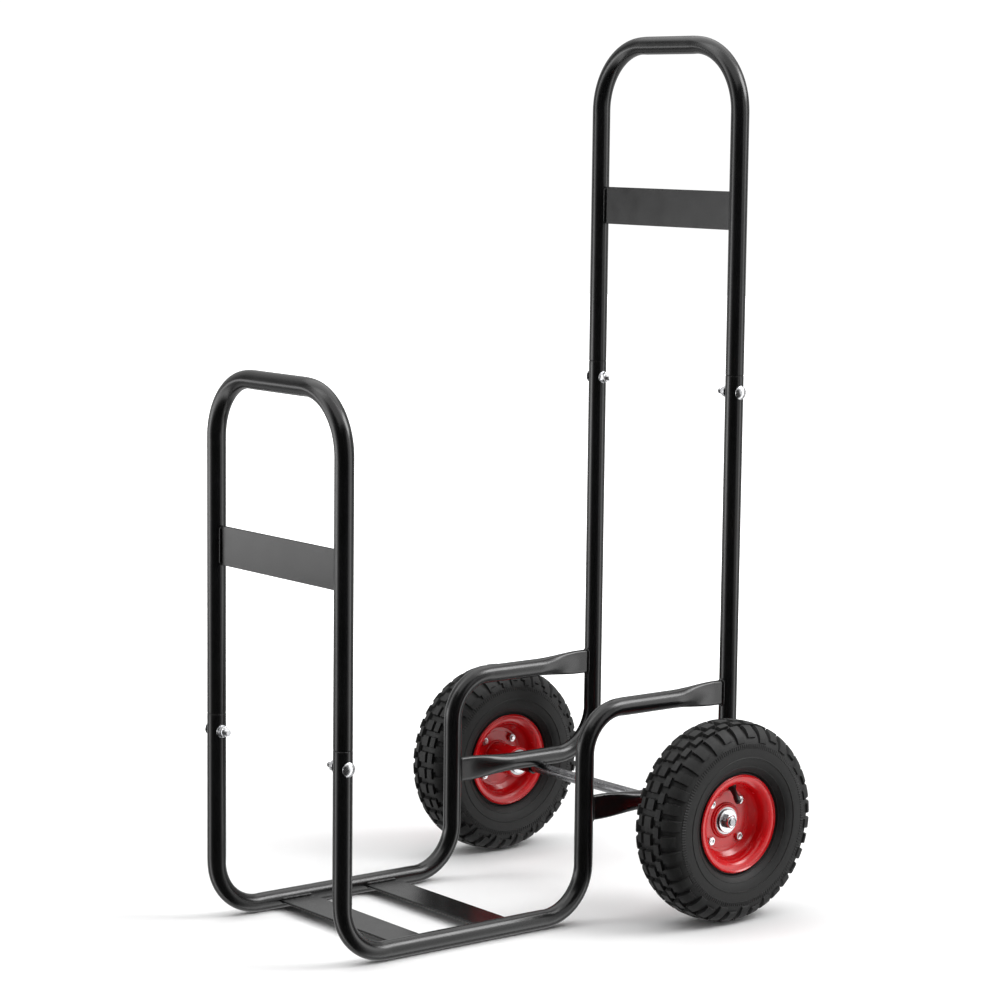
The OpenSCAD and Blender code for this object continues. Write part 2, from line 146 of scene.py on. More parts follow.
def quads(count, sides, joined=False):
    """Faces between rings of equal size, one after another; joined also links the last to the first."""
    faces = []
    for i in range(count if joined else count - 1):
        a, b = i * sides, (i + 1) % count * sides
        faces += [(a + k, a + (k + 1) % sides, b + (k + 1) % sides, b + k) for k in range(sides)]
    return faces


def capped(rings):
    """A closed bar through the rings, with a flat cap at each end."""
    sides = len(rings[0])
    verts = [v for ring in rings for v in ring]
    last = len(verts) - sides
    caps = [list(range(sides)), list(range(last, last + sides))]
    return verts, quads(len(rings), sides) + caps


def hollow(rings):
    """A closed loop of rings: out along the outside and back along the inside."""
    verts = [v for ring in rings for v in ring]
    return verts, quads(len(rings), len(rings[0]), joined=True)


def turns(count):
    """Equally spaced angles of a full turn."""
    return [2 * pi * k / count for k in range(count)]


def polar_ring(places):
    """A ring about +Z from the (radius, height) of each of its points, which are equally spaced."""
    angles = turns(len(places))
    return [(r * cos(a), r * sin(a), z) for a, (r, z) in zip(angles, places)]


def round_rings(profile, sides):
    """A round ring about +Z for each (radius, height)."""
    return [polar_ring([place] * sides) for place in profile]


def turned(profile, sides, joined=False):
    """A turned part about +Z from its (radius, height) profile; joined closes a ring-shaped one."""
    rings = round_rings(profile, sides)
    return hollow(rings) if joined else capped(rings)


def filleted(points, radii, step=15):
    """A polyline whose inner corners are rounded; one radius per point, 0 keeps it sharp."""
    out = []
    for i, (point, radius) in enumerate(zip(points, radii)):
        here = Vector(point)
        if radius == 0:
            out.append(here)
            continue
        to_last = (Vector(points[i - 1]) - here).normalized()
        to_next = (Vector(points[i + 1]) - here).normalized()
        half = to_last.angle(to_next) / 2
        centre = here + (to_last + to_next).normalized() * (radius / sin(half))
        start = here + to_last * (radius / tan(half)) - centre
        end = here + to_next * (radius / tan(half)) - centre
        turn = start.angle_signed(end)
        count = max(2, round(abs(degrees(turn)) / step))
        for k in range(count + 1):
            out.append(centre + Matrix.Rotation(-turn * k / count, 2) @ start)
    return out


def offset_line(points, distance):
    """The polyline moved sideways by a distance, mitred at its corners."""
    out = []
    for i, point in enumerate(points):
        before = (point - points[i - 1]).normalized() if i else None
        after = (points[i + 1] - point).normalized() if i + 1 < len(points) else before
        before = before or after
        a, b = Vector((-before.y, before.x)), Vector((-after.y, after.x))
        middle = (a + b).normalized()
        out.append(point + middle * (distance / middle.dot(b)))
    return out


def smoothstep(t):
    t = min(max(t, 0), 1)
    return t * t * (3 - 2 * t)


# ---- Bent tubes ----

TUBE_SIDES = 48
BEND_STEP = radians(3.75)
BEND_SQUEEZE = 0.035
SQUEEZE_RUN = 0.014
PRESS_STEP = 0.002
PRESS_RUN = 0.85 * FLAT_RUN


class BentPath:
    """Straight runs joined by right-angle arcs, in a plane.

    It gives the point and the direction at any distance from its start.
    """

    def __init__(self, corners, radii):
        corners = [Vector(c) for c in corners]
        self.parts = []
        self.length = 0
        for i in range(len(corners) - 1):
            way = (corners[i + 1] - corners[i]).normalized()
            start = corners[i] + way * radii[i]
            run = (corners[i + 1] - corners[i]).length - radii[i] - radii[i + 1]
            self.parts.append((self.length, run, start, way, None))
            self.length += run
            if i + 2 < len(corners):
                leave = (corners[i + 2] - corners[i + 1]).normalized()
                radius = radii[i + 1]
                start = corners[i + 1] - way * radius
                self.parts.append((self.length, radius * pi / 2, start, way, (leave, radius)))
                self.length += radius * pi / 2

    def at(self, s):
        for begin, run, start, way, bend in self.parts:
            if s <= begin + run + 1e-9:
                break
        s -= begin
        if bend is None:
            return start + way * s, way
        leave, radius = bend
        turn = s / radius
        point = start + way * (radius * sin(turn)) + leave * (radius * (1 - cos(turn)))
        return point, way * cos(turn) + leave * sin(turn)

    def squeeze(self, s):
        """How far the tube is squeezed by bending, from 0 to 1."""
        most = 0
        for begin, run, _, _, bend in self.parts:
            if bend:
                inside = min(s - begin, begin + run - s)
                most = max(most, smoothstep(0.5 + inside / SQUEEZE_RUN))
        return most

    def bend_stations(self):
        found = []
        for begin, run, _, _, bend in self.parts:
            if bend:
                count = round(run / bend[1] / BEND_STEP)
                found += [begin + run * k / count for k in range(count + 1)]
                found += [begin - SQUEEZE_RUN / 4, begin + run + SQUEEZE_RUN / 4]
                found += [begin - SQUEEZE_RUN / 2, begin + run + SQUEEZE_RUN / 2]
        return found


def oval_outline(height, thickness):
    """Equally spaced points round an oval with straight flanks, from its top."""
    straight, r = height - thickness, thickness / 2
    perimeter = 2 * straight + pi * thickness
    quarter = pi * thickness / 4
    points = []
    for k in range(TUBE_SIDES):
        d = perimeter * k / TUBE_SIDES
        sign = 1
        if d > perimeter / 2:
            d = perimeter - d
            sign = -1
        if d < quarter:
            up, across = straight / 2 + r * cos(d / r), r * sin(d / r)
        elif d < quarter + straight:
            up, across = straight / 2 - (d - quarter), r
        else:
            a = (d - quarter - straight) / r
            up, across = -straight / 2 - r * sin(a), r * cos(a)
        points.append((up, sign * across))
    return points


def tube_outline(radius, squeeze, pressed):
    """Outline of the tube at one place: in the plane of its bends, and square to that plane."""
    flat = radius * (1 - BEND_SQUEEZE * squeeze)
    wide = radius * (1 + BEND_SQUEEZE / 2 * squeeze)
    round_points = [(flat * cos(a), wide * sin(a)) for a in turns(TUBE_SIDES)]
    if pressed == 0:
        return round_points
    inset = 2 * (TUBE_R - radius)
    oval = oval_outline(FLAT_HEIGHT - inset, FLAT_THICKNESS - inset)
    pairs = zip(round_points, oval)
    return [(a + (c - a) * pressed, b + (d - b) * pressed) for (a, b), (c, d) in pairs]


def stations(path, steps, more):
    """Distances and radii along a tube, with the steps in its radius kept sharp."""
    inside = sorted(set(path.bend_stations() + more))
    out = [steps[0]]
    for (s0, r0), (s1, r1) in zip(steps, steps[1:]):
        for s in inside:
            if s0 + 1e-6 < s < s1 - 1e-6:
                out.append((s, r0 + (r1 - r0) * (s - s0) / (s1 - s0)))
        out.append((s1, r1))
    return out


def bent_tube(path, to_row, across, outer, inner, cope=None):
    """A hollow tube along the path. to_row turns a point of the bends' plane into the row's frame.

    With a cope, the tube's end is pressed flat and the cope moves the points of its last ring.
    """
    origin = to_row(Vector((0, 0)))
    press_from = path.length - FLAT_RUN
    steps = range(round(FLAT_RUN / PRESS_STEP)) if cope else []
    more = [press_from + PRESS_STEP * k for k in steps]

    def ring(s, radius):
        point, way = path.at(s)
        up = to_row(Vector((-way.y, way.x))) - origin
        centre = to_row(point)
        pressed = smoothstep((s - press_from) / PRESS_RUN) if cope else 0
        outline = tube_outline(radius, path.squeeze(s), pressed)
        points = [centre + up * a + across * b for a, b in outline]
        if cope and s > path.length - 1e-6:
            points = [cope(p) for p in points]
        return points

    rings = [ring(s, r) for s, r in stations(path, outer, more)]
    rings += [ring(s, r) for s, r in reversed(stations(path, inner, more))]
    return hollow(rings)


def side_to_row(side):
    return lambda p: Vector((p.x, side * SIDE_Y, p.y))


def hoop_to_row(x):
    return lambda p: Vector((x, p.x, p.y))


def saddle(neighbour_x, side, from_side):
    """Moves a point along X onto the upright tube at neighbour_x, just inside its wall."""

    def cope(point):
        reach = sqrt((TUBE_R - WELD_BITE) ** 2 - (point.y - side * SIDE_Y) ** 2)
        return Vector((neighbour_x + from_side * reach, point.y, point.z))

    return cope


def lower_tube(corners, radii, side, neighbour_x, from_side):
    """A side frame or rear upright: open at its upper end, pressed flat and coped at the other."""
    path = BentPath(corners, radii)
    outer = [(0, TUBE_R - EDGE_BREAK), (EDGE_BREAK, TUBE_R), (path.length, TUBE_R)]
    bore = TUBE_R - TUBE_WALL
    inner = [(0, bore), (path.length, bore)]
    cope = saddle(neighbour_x, side, from_side)
    return bent_tube(path, side_to_row(side), Vector((0, 1, 0)), outer, inner, cope)


def side_frame_mesh(side):
    end_x = UPRIGHT_X - TUBE_R
    corners = [
        (FRONT_X, FRONT_JOINT_Z),
        (FRONT_X, TUBE_R),
        (RISER_X, TUBE_R),
        (RISER_X, SHELF_Z),
        (end_x, SHELF_Z),
    ]
    radii = [0, LOW_BEND_R, LOW_BEND_R, SHELF_BEND_R, 0]
    return lower_tube(corners, radii, side, UPRIGHT_X, -1)


def rear_upright_mesh(side):
    end_x = RISER_X + TUBE_R
    corners = [(UPRIGHT_X, HANDLE_JOINT_Z), (UPRIGHT_X, STRUT_Z), (end_x, STRUT_Z)]
    return lower_tube(corners, [0, LOW_BEND_R, 0], side, RISER_X, 1)


def hoop_mesh(x, joint_z, top_z, bend_r):
    low = joint_z - SPIGOT_LENGTH
    corners = [(-SIDE_Y, low), (-SIDE_Y, top_z), (SIDE_Y, top_z), (SIDE_Y, low)]
    path = BentPath(corners, [0, bend_r, bend_r, 0])
    bore = TUBE_R - TUBE_WALL
    spigot = bore - SPIGOT_GAP

    def both_ends(half):
        return half + [(path.length - s, r) for s, r in reversed(half)]

    outer = [(0, spigot), (SPIGOT_LENGTH, spigot), (SPIGOT_LENGTH, TUBE_R - EDGE_BREAK)]
    outer.append((SPIGOT_LENGTH + EDGE_BREAK, TUBE_R))
    root = SPIGOT_LENGTH + SPIGOT_ROOT
    inner = [(0, spigot - TUBE_WALL), (root, spigot - TUBE_WALL), (root, bore)]
    across = Vector((1, 0, 0))
    return bent_tube(path, hoop_to_row(x), across, both_ends(outer), both_ends(inner))


# ---- Weld beads ----

BEAD_R = 0.0021
BEAD_SIDES = 12
BEAD_STEP = 0.0005
BEAD_OUT = 0.0004
AXLE_BEAD_POINTS = 96
# Length and height of a ripple, and how far and how often the bead's width wanders
RIPPLE = 0.0019
RIPPLE_LOW = 0.93
RIPPLE_RISE = 0.13
WANDER = 0.06
WANDER_POINTS = 6
# An open bead thins over its last few points
TAPER_POINTS = 4
TAPER_START = 0.35


def round_section(centre, a, b, radius):
    """Points of a bead's section, in the plane of two directions."""
    return [centre + (a * cos(t) + b * sin(t)) * radius for t in turns(BEAD_SIDES)]


def bead(points, closed):
    """A rippled weld bead along the points."""
    points = [Vector(p) for p in points]
    count = len(points)
    rings = []
    travelled = 0
    wander = [random.uniform(-WANDER, WANDER) for _ in range(count // WANDER_POINTS + 2)]
    for i, point in enumerate(points):
        ahead = points[(i + 1) % count] if closed or i + 1 < count else point
        behind = points[i - 1] if closed or i else point
        way = (ahead - behind).normalized()
        if i:
            travelled += (point - points[i - 1]).length
        reference = Vector((1, 0, 0)) if abs(way.x) < 0.7 else Vector((0, 0, 1))
        a = way.cross(reference).normalized()
        b = way.cross(a)
        scale = RIPPLE_LOW + RIPPLE_RISE * abs(sin(pi * travelled / RIPPLE))
        last = i // WANDER_POINTS
        part = i / WANDER_POINTS - last
        scale += wander[last] * (1 - part) + wander[last + 1] * part
        if not closed:
            edge = min(i, count - 1 - i)
            scale *= sqrt(min(1, (edge + TAPER_START) / TAPER_POINTS))
        rings.append(round_section(point, a, b, BEAD_R * scale))
    return hollow(rings) if closed else capped(rings)


def straight_points(start, end):
    count = round((end - start).length / BEAD_STEP)
    return [start.lerp(end, k / count) for k in range(count + 1)]


def oval_points():
    """Points round the outside of a pressed tube end: (up, across)."""
    straight = FLAT_HEIGHT - FLAT_THICKNESS
    perimeter = 2 * straight + pi * FLAT_THICKNESS
    coarse = [Vector(p) for p in oval_outline(FLAT_HEIGHT, FLAT_THICKNESS)]
    count = round(perimeter / BEAD_STEP)
    out = []
    for k in range(count):
        place = k / count * len(coarse)
        i = int(place)
        out.append(coarse[i].lerp(coarse[(i + 1) % len(coarse)], place - i))
    return out


def saddle_bead(x, z, side, from_side):
    """The bead round a pressed tube end where it meets the upright tube at x."""
    points = []
    for up, across in oval_points():
        reach = sqrt(TUBE_R**2 - across**2)
        points.append((x + from_side * (reach + BEAD_OUT), side * SIDE_Y + across, z + up))
    return bead(points, closed=True)


def axle_bead(side):
    """The bead round the notch in the strut, where the axle is let into it."""
    top = AXLE_Z + AXLE_R
    half_width = sqrt(TUBE_R**2 - (STRUT_Z - top) ** 2)
    points = []
    for k in range(AXLE_BEAD_POINTS):
        turn = 2 * pi * (k + 0.5) / AXLE_BEAD_POINTS
        across = half_width * sin(turn)
        z = STRUT_Z - sqrt(TUBE_R**2 - across**2)
        along = sqrt(AXLE_R**2 - (z - AXLE_Z) ** 2)
        points.append((AXLE_X + copysign(along, cos(turn)), side * SIDE_Y + across, z))
    return bead(points, closed=True)


# ---- Node materials ----


def node_material(name):
    material = bpy.data.materials.new(name)
    material.use_nodes = True
    tree = material.node_tree
    shader = tree.nodes["Principled BSDF"]
    return material, tree, shader


def add_node(tree, kind, values=(), links=(), **settings):
    """A new node. Values are put in its sockets, and links are the outputs that feed its sockets."""
    node = tree.nodes.new("ShaderNode" + kind)
    for setting, value in settings.items():
        setattr(node, setting, value)
    for socket, value in dict(values).items():
        node.inputs[socket].default_value = value
    for socket, source in dict(links).items():
        tree.links.new(source, node.inputs[socket])
    return node


def grey(value):
    return (value, value, value)


def noise(tree, scale, detail, stretch=(1, 1, 1)):
    """Noise in the object's own space, stretched along its axes."""
    place = add_node(tree, "TexCoord").outputs["Object"]
    mapping = add_node(tree, "Mapping", {"Scale": stretch}, {"Vector": place})
    values = {"Scale": scale, "Detail": detail}
    return add_node(tree, "TexNoise", values, {"Vector": mapping.outputs["Vector"]}).outputs["Fac"]


def ramp(tree, source, stops):
    """A colour ramp over a factor; stops are (place, colour)."""
    node = add_node(tree, "ValToRGB", links={"Fac": source})
    elements = node.color_ramp.elements
    while len(elements) < len(stops):
        elements.new(0.5)
    for element, (place, colour) in zip(elements, stops):
        element.position = place
        element.color = (*colour, 1)
    return node.outputs["Color"]


def spread(tree, source, low, high):
    """A factor from 0 to 1 as a value from low to high."""
    values = {"To Min": low, "To Max": high}
    return add_node(tree, "MapRange", values, {"Value": source}).outputs["Result"]


def bump(tree, height, depth, before=None):
    links = {"Height": height}
    if before:
        links["Normal"] = before
    return add_node(tree, "Bump", {"Strength": 1.0, "Distance": depth}, links).outputs["Normal"]


def mix(tree, factor, first, second):
    """The first colour goes over into the second, a constant."""
    links = {"Factor": factor, "A": first}
    return add_node(tree, "Mix", {"B": (*second, 1)}, links, data_type="RGBA").outputs["Result"]


def facing_up(tree, low, high):
    """How far a surface faces up, from 0 to 1."""
    normal = add_node(tree, "NewGeometry").outputs["Normal"]
    split = add_node(tree, "SeparateXYZ", links={"Vector": normal})
    values = {"From Min": low, "From Max": high}
    return add_node(tree, "MapRange", values, {"Value": split.outputs["Z"]}).outputs["Result"]


def vector_math(tree, operation, first, second=None):
    values = {} if second is None else {1: second}
    return add_node(tree, "VectorMath", values, {0: first}, operation=operation).outputs


def product(tree, first, second):
    return add_node(tree, "Math", links={0: first, 1: second}, operation="MULTIPLY").outputs[0]


def link_surface(tree, shader, colour, roughness, normal):
    tree.links.new(colour, shader.inputs["Base Color"])
    tree.links.new(roughness, shader.inputs["Roughness"])
    tree.links.new(normal, shader.inputs["Normal"])


def powder_coat(name, peel_depth):
    """Semi-gloss black powder coat: orange peel, cloudy gloss and a little dust on top."""
    material, tree, shader = node_material(name)
    tone = ramp(tree, noise(tree, 24, 4), [(0.3, grey(0.0022)), (0.75, (0.0045, 0.0045, 0.005))])
    specks = ramp(tree, noise(tree, 420, 3), [(0.68, grey(0)), (0.80, grey(0.35))])
    specked = mix(tree, specks, tone, (0.014, 0.014, 0.015))
    dust = product(tree, facing_up(tree, 0.35, 1.0), spread(tree, noise(tree, 60, 5), 0.02, 0.16))
    colour = mix(tree, dust, specked, (0.055, 0.054, 0.052))
    roughness = spread(tree, noise(tree, 45, 6), 0.17, 0.30)
    peel = bump(tree, noise(tree, 520, 2), peel_depth)
    grain = bump(tree, noise(tree, 2200, 2), peel_depth / 5, peel)
    link_surface(tree, shader, colour, roughness, grain)
    shader.inputs["IOR"].default_value = 1.55
    return material


def gloss_red():
    """Gloss red paint on pressed steel: cloudy tone, soft orange peel, brake-dust film."""
    material, tree, shader = node_material("gloss_red_paint")
    stops = [(0.3, (0.52, 0.0016, 0.004)), (0.7, (0.60, 0.0025, 0.006))]
    tone = ramp(tree, noise(tree, 40, 4), stops)
    film = ramp(tree, noise(tree, 90, 6), [(0.60, grey(0)), (0.90, grey(0.12))])
    colour = mix(tree, film, tone, (0.28, 0.02, 0.02))
    roughness = spread(tree, noise(tree, 120, 5), 0.18, 0.32)
    peel = bump(tree, noise(tree, 450, 2), 0.00006)
    link_surface(tree, shader, colour, roughness, peel)
    shader.inputs["Coat Weight"].default_value = 0.2
    shader.inputs["Coat Roughness"].default_value = 0.12
    return material


def moulded_rubber(name, low, high, rough, bump_depth):
    """Matt moulded rubber: cloudy bloom, dust in patches and a fine moulded grain."""
    material, tree, shader = node_material(name)
    cloud = noise(tree, 34, 5)
    tone = ramp(tree, cloud, [(0.3, grey(low)), (0.7, (high, high, high * 0.97))])
    bloom = ramp(tree, noise(tree, 260, 4), [(0.5, grey(0)), (0.8, grey(0.4))])
    colour = mix(tree, bloom, tone, grey(high * 1.5))
    roughness = spread(tree, cloud, rough - 0.08, rough + 0.08)
    coarse = bump(tree, noise(tree, 330, 3), bump_depth)
    grain = bump(tree, noise(tree, 1500, 3), bump_depth / 3, coarse)
    link_surface(tree, shader, colour, roughness, grain)
    return material


def plated_steel(name, low, high, rough_low, rough_high, stretch):
    """Zinc-plated or ground steel: cloudy plating and fine lines from turning or drawing."""
    material, tree, shader = node_material(name)
    tone = ramp(tree, noise(tree, 130, 5), [(0.3, low), (0.7, high)])
    stains = noise(tree, 420, 5)
    stained = ramp(tree, stains, [(0.60, grey(0)), (0.85, grey(0.5))])
    colour = mix(tree, stained, tone, (0.36, 0.35, 0.33))
    roughness = spread(tree, stains, rough_low, rough_high)
    lines = bump(tree, noise(tree, 900, 2, stretch), 0.00002)
    link_surface(tree, shader, colour, roughness, lines)
    shader.inputs["Metallic"].default_value = 1
    return material


# Finishes: a material and the slot that it stands for
black_paint = (powder_coat("black_powder_coat", 0.00005), "frame_paint")
weld_paint = (powder_coat("black_powder_coat_on_welds", 0.00012), "frame_paint")
red_paint = (gloss_red(), "rim_paint")
tyre_rubber = (moulded_rubber("tyre_rubber", 0.005, 0.012, 0.62, 0.00016), "tyre_rubber")
valve_rubber = (moulded_rubber("valve_rubber", 0.005, 0.009, 0.4, 0.00004), "valve_rubber")
tube_rubber = moulded_rubber("inner_tube_rubber", 0.020, 0.030, 0.55, 0.00006)
light, lighter = (0.70, 0.71, 0.73), (0.86, 0.86, 0.87)
zinc = (plated_steel("bright_zinc", light, lighter, 0.18, 0.36, (1, 1, 1)), "zinc_fasteners")
dark, darker = (0.44, 0.44, 0.45), (0.28, 0.28, 0.29)
axle_zinc = (plated_steel("drawn_bar", darker, dark, 0.18, 0.32, (6, 0.2, 6)), "axle_steel")
ground_steel = plated_steel("ground_steel", (0.45, 0.45, 0.46), (0.60, 0.60, 0.61), 0.2, 0.4, (1, 8, 1))

# ---- The frame ----


def frame_piece(name, mesh, node):
    make_piece(name, [(mesh, HERE)], black_paint, "root", [node])


for side in (LEFT, RIGHT):
    name = SIDE_NAME[side]
    frame_piece(f"side_tube_{name}", side_frame_mesh(side), f"side_frame_{name}")
    frame_piece(f"upright_tube_{name}", rear_upright_mesh(side), f"rear_upright_{name}")

front_hoop = hoop_mesh(FRONT_X, FRONT_JOINT_Z, FRONT_TOP_Z, FRONT_BEND_R)
frame_piece("front_hoop_tube", front_hoop, "front_hoop")
handle_hoop = hoop_mesh(UPRIGHT_X, HANDLE_JOINT_Z, HANDLE_TOP_Z, HANDLE_BEND_R)
frame_piece("handle_tube", handle_hoop, "handle_hoop")

# ---- Cross plates and their welds ----

# Each plate and its thin axis; its wide axis is the other one of X and Z
PLATES = {"front_plate": 0, "handle_plate": 0, "base_plate_front": 2, "base_plate_rear": 2}
PLATE_EDGE = 0.0006
PLATE_STEPS = 32
PLATE_BEAD_IN = 0.002
PLATE_BEAD_OUT = 0.0006


def plate_sizes(node, thin_axis):
    """Middle of a plate, half its thickness and half its width."""
    low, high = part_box(node)
    half = (high - low) / 2
    return (low + high) / 2, half[thin_axis], half[2 - thin_axis]


def plate_point(middle, thin_axis, y, thin, wide):
    """A point at y, at these distances from a plate's middle."""
    point = Vector((middle.x, y, middle.z))
    point[thin_axis] += thin
    point[2 - thin_axis] += wide
    return point


def plate_mesh(node, thin_axis):
    """A flat bar along Y with softened edges; its ends reach just inside the tube walls."""
    middle, half_thin, half_wide = plate_sizes(node, thin_axis)
    outline = []
    for thin, wide in ((1, 1), (1, -1), (-1, -1), (-1, 1)):
        a = (thin * half_thin, wide * (half_wide - PLATE_EDGE))
        b = (thin * (half_thin - PLATE_EDGE), wide * half_wide)
        outline += [b, a] if thin * wide > 0 else [a, b]
    end = SIDE_Y - TUBE_R + WELD_BITE
    rings = []
    for step in range(PLATE_STEPS + 1):
        y = -end + 2 * end * step / PLATE_STEPS
        rings.append([plate_point(middle, thin_axis, y, *place) for place in outline])
    return capped(rings)


def plate_beads(node, thin_axis):
    """One bead on each face of a plate, along both of its ends."""
    middle, half_thin, half_wide = plate_sizes(node, thin_axis)
    thin = half_thin + PLATE_BEAD_OUT
    wide = half_wide - PLATE_BEAD_IN
    beads = []
    for side in (LEFT, RIGHT):
        y = side * (SIDE_Y - TUBE_R - BEAD_OUT)
        for face in (-1, 1):
            ends = [plate_point(middle, thin_axis, y, face * thin, way * wide) for way in (-1, 1)]
            beads.append(bead(straight_points(*ends), closed=False))
    return beads


for node, thin_axis in PLATES.items():
    frame_piece(node + "_bar", plate_mesh(node, thin_axis), node)

beads = []
for side in (LEFT, RIGHT):
    beads.append(saddle_bead(UPRIGHT_X, SHELF_Z, side, -1))
    beads.append(saddle_bead(RISER_X, STRUT_Z, side, 1))
for node, thin_axis in PLATES.items():
    beads += plate_beads(node, thin_axis)
beads += [axle_bead(side) for side in (LEFT, RIGHT)]
make_piece("weld_beads", [(mesh, HERE) for mesh in beads], weld_paint, "root", [])

# ---- Fasteners ----

HEX_SIDES = 72
HEX_FACE = 0.95
HEX_SLOPE = tan(radians(30))
COLLAR_SHARE = 0.92
SHOULDER_SHARE = 0.72
COLLAR_EDGE = 0.0014
NUT_EDGE = 0.0006
WASHER_SIDES = 64
BORE_GAP = 0.00005


def hex_radius(width, angle):
    """Distance from the middle of a hexagon to its edge, at an angle."""
    sixth = pi / 3
    return width / 2 / cos((angle + sixth / 2) % sixth - sixth / 2)


def hex_rings(width, height, turned_below=True):
    """Rings of a hexagon on z = 0 whose corners are turned off at its top and, if wanted, below."""
    face_r = HEX_FACE * width / 2

    def corner_ring(z, into):
        places = []
        for k in range(HEX_SIDES):
            r = hex_radius(width, 2 * pi * k / HEX_SIDES)
            drop = max(0, r - face_r) * HEX_SLOPE
            places.append((r, z + into * drop))
        return polar_ring(places)

    below = round_rings([(face_r, 0)], HEX_SIDES) if turned_below else []
    sides = [corner_ring(0, 1 if turned_below else 0), corner_ring(height, -1)]
    return below + sides + round_rings([(face_r, height)], HEX_SIDES)


def bolt_head(width, height):
    """Hex head with a turned top and a shallow dimple."""
    dimple = [
        (0.55 * width / 2, height),
        (0.42 * width / 2, height - 0.0004),
        (0.0002, height - 0.0005),
    ]
    return capped(hex_rings(width, height, turned_below=False) + round_rings(dimple, HEX_SIDES))


def lock_nut(width, height, bore):
    """Nylon-insert nut: hexagon, then a rolled collar that closes over the insert."""
    collar = COLLAR_SHARE * width / 2
    shoulder = SHOULDER_SHARE * height
    profile = [
        (collar, shoulder + 0.0003),
        (collar, height - COLLAR_EDGE),
        (collar - 0.0005, height - 0.0004),
        (collar - 0.0016, height),
        (collar - 0.0028, height - 0.0003),
        (bore + 0.0009, height - 0.0009),
        (bore, height - COLLAR_EDGE),
        (bore, 0.0008),
        (bore + 0.0008, 0),
    ]
    return hollow(hex_rings(width, shoulder) + round_rings(profile, HEX_SIDES))


def plain_nut(width, height, bore):
    wide = bore + NUT_EDGE
    profile = [(wide, height), (bore, height - NUT_EDGE), (bore, NUT_EDGE), (wide, 0)]
    return hollow(hex_rings(width, height) + round_rings(profile, HEX_SIDES))


def washer(r_out, r_in, height, edge=0.0003):
    profile = [
        (r_in + edge, height),
        (r_out - edge, height),
        (r_out, height - edge),
        (r_out, edge),
        (r_out - edge, 0),
        (r_in + edge, 0),
        (r_in, edge),
        (r_in, height - edge),
    ]
    return turned(profile, WASHER_SIDES, joined=True)


THREAD_SIDES = 36
THREAD_STEPS = 8
THREAD_DEPTH = 0.55
THREAD_ROUNDING = 0.8
BAR_SINK = 0.0005


def threaded_bar(radius, pitch, start, plain, end):
    """A bar from a little below start, with a real helical thread after its plain part.

    The thread's end is chamfered.
    """
    depth = THREAD_DEPTH * pitch
    thread_from = start + plain
    rings = round_rings([(radius, start - BAR_SINK)], THREAD_SIDES)
    count = round((end - thread_from) / pitch * THREAD_STEPS)
    for i in range(count + 1):
        z = thread_from + (end - thread_from) * i / count
        grown = smoothstep((z - thread_from) / pitch)
        limit = radius - max(0, z - end + depth)
        places = []
        for k in range(THREAD_SIDES):
            phase = (z / pitch - k / THREAD_SIDES) % 1
            cut = depth * grown * (1 - abs(2 * phase - 1) ** THREAD_ROUNDING)
            places.append((min(radius - cut, limit), z))
        rings.append(polar_ring(places))
    return capped(rings)


def along_y(x, y, z, out, spin=0.0):
    """Places a part drawn along +Z so that it points along Y, out being -1 or 1."""
    turn = Matrix.Rotation(radians(-90 * out), 4, "X")
    return Matrix.Translation((x, y, z)) @ turn @ Matrix.Rotation(radians(spin), 4, "Z")


JOINT_HEAD_R = 0.009
JOINT_HEAD = 0.0045
JOINT_HEAD_RIM = 0.0008
JOINT_BOLT_R = 0.004
JOINT_BOLT_LENGTH = 0.040
JOINT_THREAD = 0.022
JOINT_PITCH = 0.00125
JOINT_WASHER_R = 0.008
JOINT_WASHER = 0.0016
JOINT_NUT_WIDTH = 0.013
JOINT_NUT = 0.008
JOINT_WASHER_GAP = 0.0002
DOME_EDGE = 0.0002
DOME_SIDES = 96
DOME_STEPS = 15
# Just over the number of the last step, so that the last ring is small but not a point
DOME_TOP = 14.2


def domed_head(radius, height, rim):
    """Round bolt head: a short straight edge, then part of a ball."""
    rise = height - rim
    ball = (radius**2 + rise**2) / (2 * rise)
    lean = asin((radius - DOME_EDGE) / ball)
    profile = [(radius - DOME_EDGE, 0), (radius, DOME_EDGE), (radius, rim)]
    for k in range(DOME_STEPS):
        a = lean * (1 - k / DOME_TOP)
        profile.append((ball * sin(a), height - ball + ball * cos(a)))
    return turned(profile, DOME_SIDES)


joint_plain = JOINT_BOLT_LENGTH - JOINT_THREAD
head = domed_head(JOINT_HEAD_R, JOINT_HEAD, JOINT_HEAD_RIM)
bar = threaded_bar(JOINT_BOLT_R, JOINT_PITCH, 0, joint_plain, JOINT_BOLT_LENGTH)
ring = washer(JOINT_WASHER_R, JOINT_BOLT_R + JOINT_WASHER_GAP, JOINT_WASHER)
nut = lock_nut(JOINT_NUT_WIDTH, JOINT_NUT, JOINT_BOLT_R + BORE_GAP)
bolts, washers, nuts = [], [], []
for x, joint_z in ((FRONT_X, FRONT_JOINT_Z), (UPRIGHT_X, HANDLE_JOINT_Z)):
    z = joint_z - BOLT_DROP
    for side in (LEFT, RIGHT):
        outer_y = side * (SIDE_Y + TUBE_R)
        inner_y = side * (SIDE_Y - TUBE_R)
        bolts += [(head, along_y(x, outer_y, z, side)), (bar, along_y(x, outer_y, z, -side))]
        washers.append((ring, along_y(x, inner_y, z, -side)))
        nut_y = inner_y - side * JOINT_WASHER
        nuts.append((nut, along_y(x, nut_y, z, -side, random.uniform(0, 60))))
make_piece("joint_domed_bolts", bolts, zinc, "root", ["joint_bolts"])
make_piece("joint_flat_washers", washers, zinc, "root", ["joint_washers"])
make_piece("joint_lock_nuts", nuts, zinc, "root", ["joint_nuts"])

# ---- Axle ----

